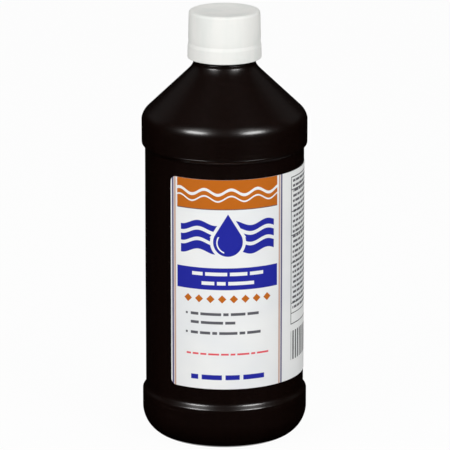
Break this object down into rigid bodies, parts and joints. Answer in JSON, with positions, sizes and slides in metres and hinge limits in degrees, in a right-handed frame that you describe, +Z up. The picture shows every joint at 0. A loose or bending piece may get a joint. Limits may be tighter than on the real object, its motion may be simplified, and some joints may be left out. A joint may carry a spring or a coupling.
{
  "type": "screw-cap solution bottle",
  "caption": "Round opaque half-litre solution bottle with a recessed label panel, conical shoulder and threaded neck, closed by a foil seal and a lined cap that screws off.",
  "frame": {"origin": "centre of the standing ring, on the surface that the bottle stands on", "axes": "+Z up along the bottle's axis towards the cap, -Y out of the front of the label, +X to the right of that front"},
  "size_m": [0.0694, 0.0694, 0.182],
  "materials": {
    "bottle_plastic": "satin",
    "label_paper": "satin",
    "seal_foil": "satin",
    "clear_solution": "gloss",
    "liner_board": "matte",
    "cap_plastic": "satin"
  },
  "bodies": {
    "vessel": {"bottle": "bottle_plastic", "wrap_label": "label_paper", "foil_seal": "seal_foil", "solution": "clear_solution"},
    "liner": {"cap_liner": "liner_board"},
    "cap": {"screw_cap": "cap_plastic"}
  },
  "joints": [
    {"name": "cap_lift", "type": "slide", "parent": "vessel", "child": "liner", "axis": [0, 0, 1], "range_m": [0, 0.02117]},
    {"name": "cap_turn", "type": "hinge", "parent": "liner", "child": "cap", "pos_m": [0, 0, 0.17], "axis": [0, 0, 1], "range_deg": [0, 1800]}
  ],
  "couplings": [
    {"joint": "cap_lift", "follows": "cap_turn", "m_per_rad": 0.00067375}
  ]
}
